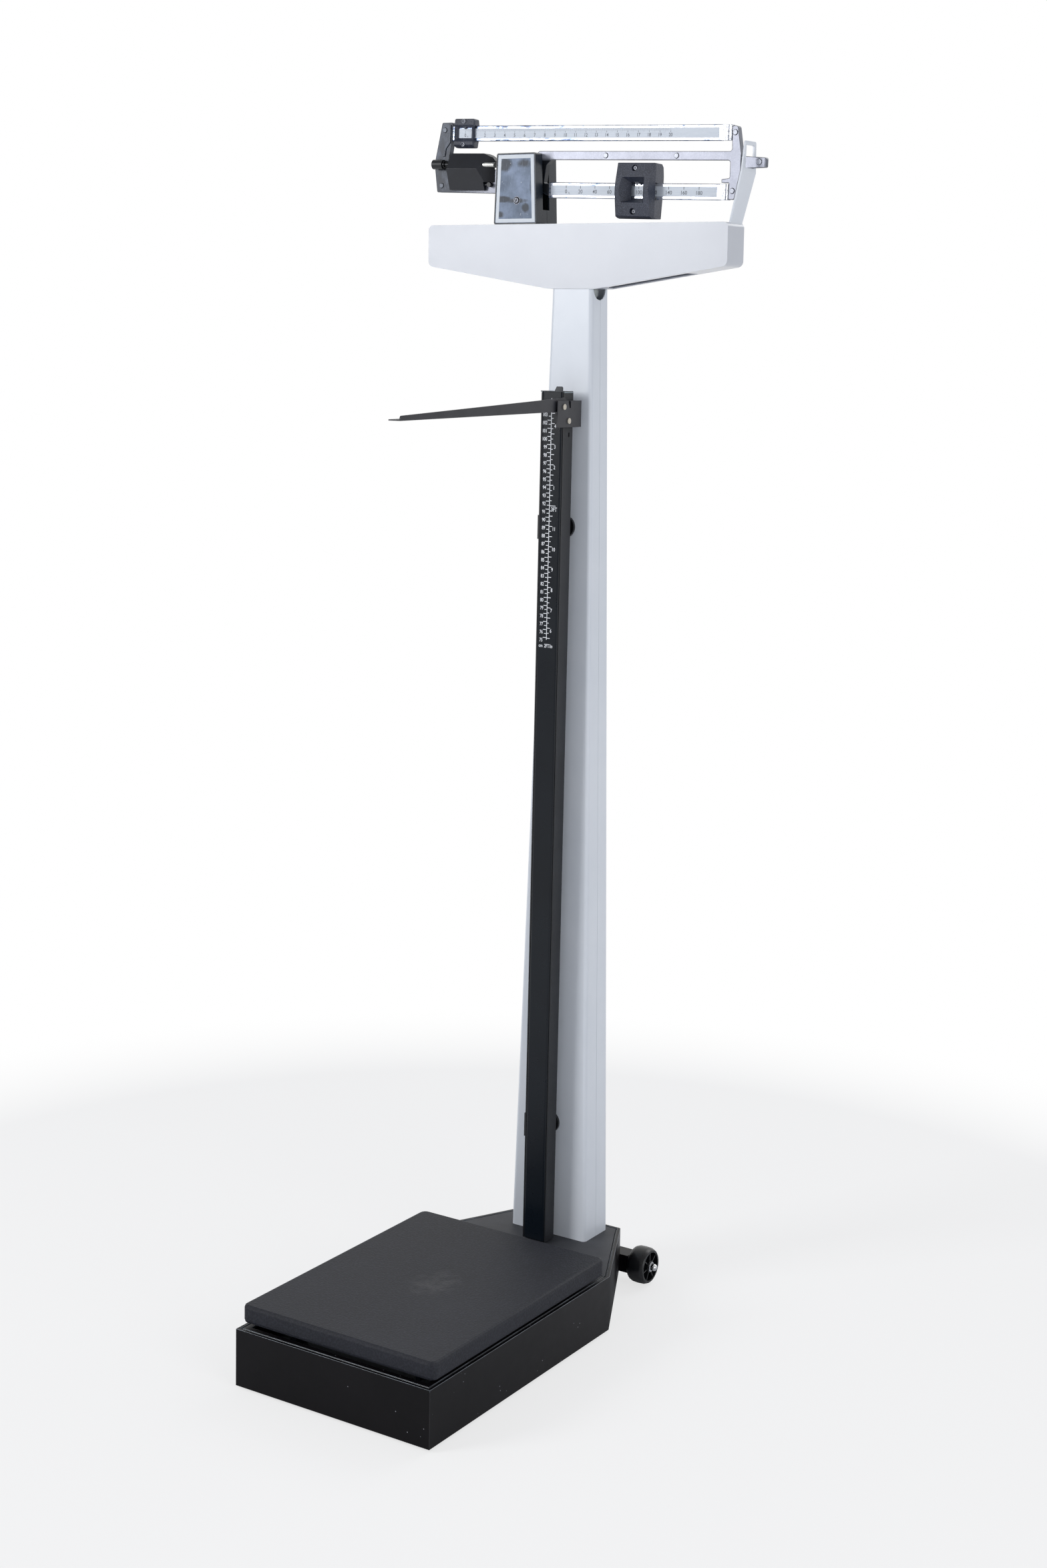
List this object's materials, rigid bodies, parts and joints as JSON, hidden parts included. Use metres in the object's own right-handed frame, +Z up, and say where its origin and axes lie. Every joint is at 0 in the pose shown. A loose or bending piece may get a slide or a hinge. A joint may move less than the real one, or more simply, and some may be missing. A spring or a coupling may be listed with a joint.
{
  "type": "physician scale",
  "caption": "Mechanical physician scale with a sliding-weight beam on a tapered column, a low lever platform, a telescopic height rod with a folding arm, and rear wheels.",
  "frame": {"origin": "bottom centre of the object's box, on the floor under the column's front half", "axes": "+Z up, +Y from the platform towards the column and wheels, +X to the right of a person who faces the beam"},
  "size_m": [0.4786, 0.5584, 1.4955],
  "materials": {
    "black_enamel": "gloss",
    "white_enamel": "gloss",
    "galvanised_steel": "matt, spangled",
    "lever_iron": "rough cast, painted",
    "knife_steel": "ground",
    "beam_casting": "painted hammered grey",
    "bar_alloy": "satin",
    "scale_strip": "satin, printed",
    "poise_iron": "grained black",
    "stand_black": "satin black",
    "bare_panel": "scuffed, brushed",
    "platform_mat": "fine grained",
    "platform_steel": "satin black",
    "rear_plate": "matt",
    "rod_black": "satin black anodised",
    "arm_grey": "satin",
    "foot_rubber": "matt",
    "wheel_plastic": "moulded",
    "bright_steel": "polished"
  },
  "bodies": {
    "base": {"base_housing": "black_enamel", "base_rails": "black_enamel", "rubber_feet": "foot_rubber", "rear_top_plate": "rear_plate", "wheel_bar": "black_enamel", "wheel_axles": "knife_steel", "axle_nuts": "bright_steel", "fulcrum_blocks": "galvanised_steel", "column_front_shell": "white_enamel", "column_rear_shell": "white_enamel", "head_bracket": "galvanised_steel", "head_bolts": "galvanised_steel", "head_box_front": "white_enamel", "head_box_rear": "white_enamel", "trig_loop": "white_enamel", "stand_front": "stand_black", "stand_rear": "stand_black", "stand_plate": "bare_panel", "stand_screw": "bright_steel", "fulcrum_bracket": "galvanised_steel", "transfer_bracket": "galvanised_steel", "rod_channel": "rod_black", "rod_clips": "wheel_plastic"},
    "beam": {"beam_frame": "beam_casting", "beam_knives": "knife_steel", "upper_bar": "bar_alloy", "lower_bar": "bar_alloy", "upper_scale_strip": "scale_strip", "lower_scale_strip": "scale_strip", "bar_end_clamps": "bar_alloy", "beam_rivets": "beam_casting", "pointer": "beam_casting", "guide_rod": "knife_steel"},
    "small_poise": {"small_poise_front": "poise_iron", "small_poise_rear": "poise_iron", "small_poise_screws": "bright_steel"},
    "large_poise": {"large_poise_front": "poise_iron", "large_poise_rear": "poise_iron", "large_poise_screws": "bright_steel"},
    "adjusting_screw": {"adjusting_screw": "bright_steel"},
    "counterweight": {"counterweight": "poise_iron"},
    "platform": {"platform_frame": "platform_steel", "platform_cover": "platform_mat"},
    "main_lever": {"main_lever": "lever_iron", "main_lever_knives": "knife_steel"},
    "short_lever": {"short_lever": "lever_iron", "short_lever_knives": "knife_steel"},
    "lever_link": {"lever_link": "knife_steel"},
    "draw_rod": {"draw_rod": "knife_steel"},
    "transfer_lever": {"transfer_lever": "lever_iron"},
    "beam_link": {"beam_link": "knife_steel"},
    "inner_rod": {"inner_rod": "rod_black", "rod_cap": "wheel_plastic"},
    "slider": {"slider_bracket": "arm_grey", "slider_rivets": "bright_steel"},
    "measuring_arm": {"measuring_arm": "arm_grey"},
    "wheel_left": {"wheel_left": "wheel_plastic"},
    "wheel_right": {"wheel_right": "wheel_plastic"}
  },
  "joints": [
    {"name": "beam_tilt", "type": "hinge", "parent": "base", "child": "beam", "pos_m": [-0.10178, 0.21405, 1.421], "axis": [0, -1, 0], "range_deg": [0, 2.2]},
    {"name": "small_poise_slide", "type": "slide", "parent": "beam", "child": "small_poise", "axis": [0.9996, 0, -0.0279], "range_m": [0, 0.3016]},
    {"name": "large_poise_slide", "type": "slide", "parent": "beam", "child": "large_poise", "axis": [0.9996, 0, -0.0279], "range_m": [-0.1049, 0.0839]},
    {"name": "adjusting_screw_turn", "type": "hinge", "parent": "beam", "child": "adjusting_screw", "pos_m": [-0.19137, 0.20325, 1.43681], "axis": [0.9996, 0, -0.0279], "range_deg": [-1584, 1584]},
    {"name": "counterweight_slide", "type": "slide", "parent": "beam", "child": "counterweight", "axis": [0.9996, 0, -0.0279], "range_m": [-0.004, 0.004]},
    {"name": "beam_link_slide", "type": "slide", "parent": "base", "child": "beam_link", "axis": [0, 0, -1], "range_m": [-0.0002, 0.0007487]},
    {"name": "transfer_lever_tilt", "type": "hinge", "parent": "base", "child": "transfer_lever", "pos_m": [-0.20578, 0.21405, 1.33], "axis": [0, 1, 0], "range_deg": [-0.1, 0.482]},
    {"name": "draw_rod_slide", "type": "slide", "parent": "base", "child": "draw_rod", "axis": [0, 0, -1], "range_m": [-0.0004, 0.0016]},
    {"name": "main_lever_tilt", "type": "hinge", "parent": "base", "child": "main_lever", "pos_m": [-0.01578, -0.24175, 0.045], "axis": [-1, 0, 0], "range_deg": [-0.05, 0.2009]},
    {"name": "lever_link_slide", "type": "slide", "parent": "base", "child": "lever_link", "axis": [0, 0, -1], "range_m": [-0.0002, 0.0005523]},
    {"name": "short_lever_tilt", "type": "hinge", "parent": "base", "child": "short_lever", "pos_m": [-0.01578, 0.07325, 0.026], "axis": [1, 0, 0], "range_deg": [-0.05, 0.2009]},
    {"name": "platform_slide", "type": "slide", "parent": "base", "child": "platform", "axis": [0, 0, -1], "range_m": [-0.00002, 0.0000491]},
    {"name": "inner_rod_slide", "type": "slide", "parent": "base", "child": "inner_rod", "axis": [0, 0.0089, 1], "range_m": [0, 0.87]},
    {"name": "arm_slider_slide", "type": "slide", "parent": "inner_rod", "child": "slider", "axis": [0, 0.0089, 1], "range_m": [-0.28, 0]},
    {"name": "measuring_arm_fold", "type": "hinge", "parent": "slider", "child": "measuring_arm", "pos_m": [0.00422, 0.13982, 1.13557], "axis": [-1, 0, 0], "range_deg": [0, 90]},
    {"name": "wheel_left_turn", "type": "hinge", "parent": "base", "child": "wheel_left", "pos_m": [-0.11178, 0.25575, 0.025], "axis": [1, 0, 0], "continuous": true},
    {"name": "wheel_right_turn", "type": "hinge", "parent": "base", "child": "wheel_right", "pos_m": [0.08022, 0.25575, 0.025], "axis": [1, 0, 0], "continuous": true}
  ],
  "couplings": [
    {"joint": "adjusting_screw_turn", "follows": "counterweight_slide", "rad_per_m": 6283.2},
    {"joint": "beam_link_slide", "follows": "beam_tilt", "m_per_rad": 0.015},
    {"joint": "transfer_lever_tilt", "follows": "beam_tilt", "ratio": 0.16854},
    {"joint": "draw_rod_slide", "follows": "beam_tilt", "m_per_rad": 0.032022},
    {"joint": "main_lever_tilt", "follows": "beam_tilt", "ratio": 0.070256},
    {"joint": "lever_link_slide", "follows": "beam_tilt", "m_per_rad": 0.011065},
    {"joint": "short_lever_tilt", "follows": "beam_tilt", "ratio": 0.070256},
    {"joint": "platform_slide", "follows": "beam_tilt", "m_per_rad": 0.00098358}
  ]
}
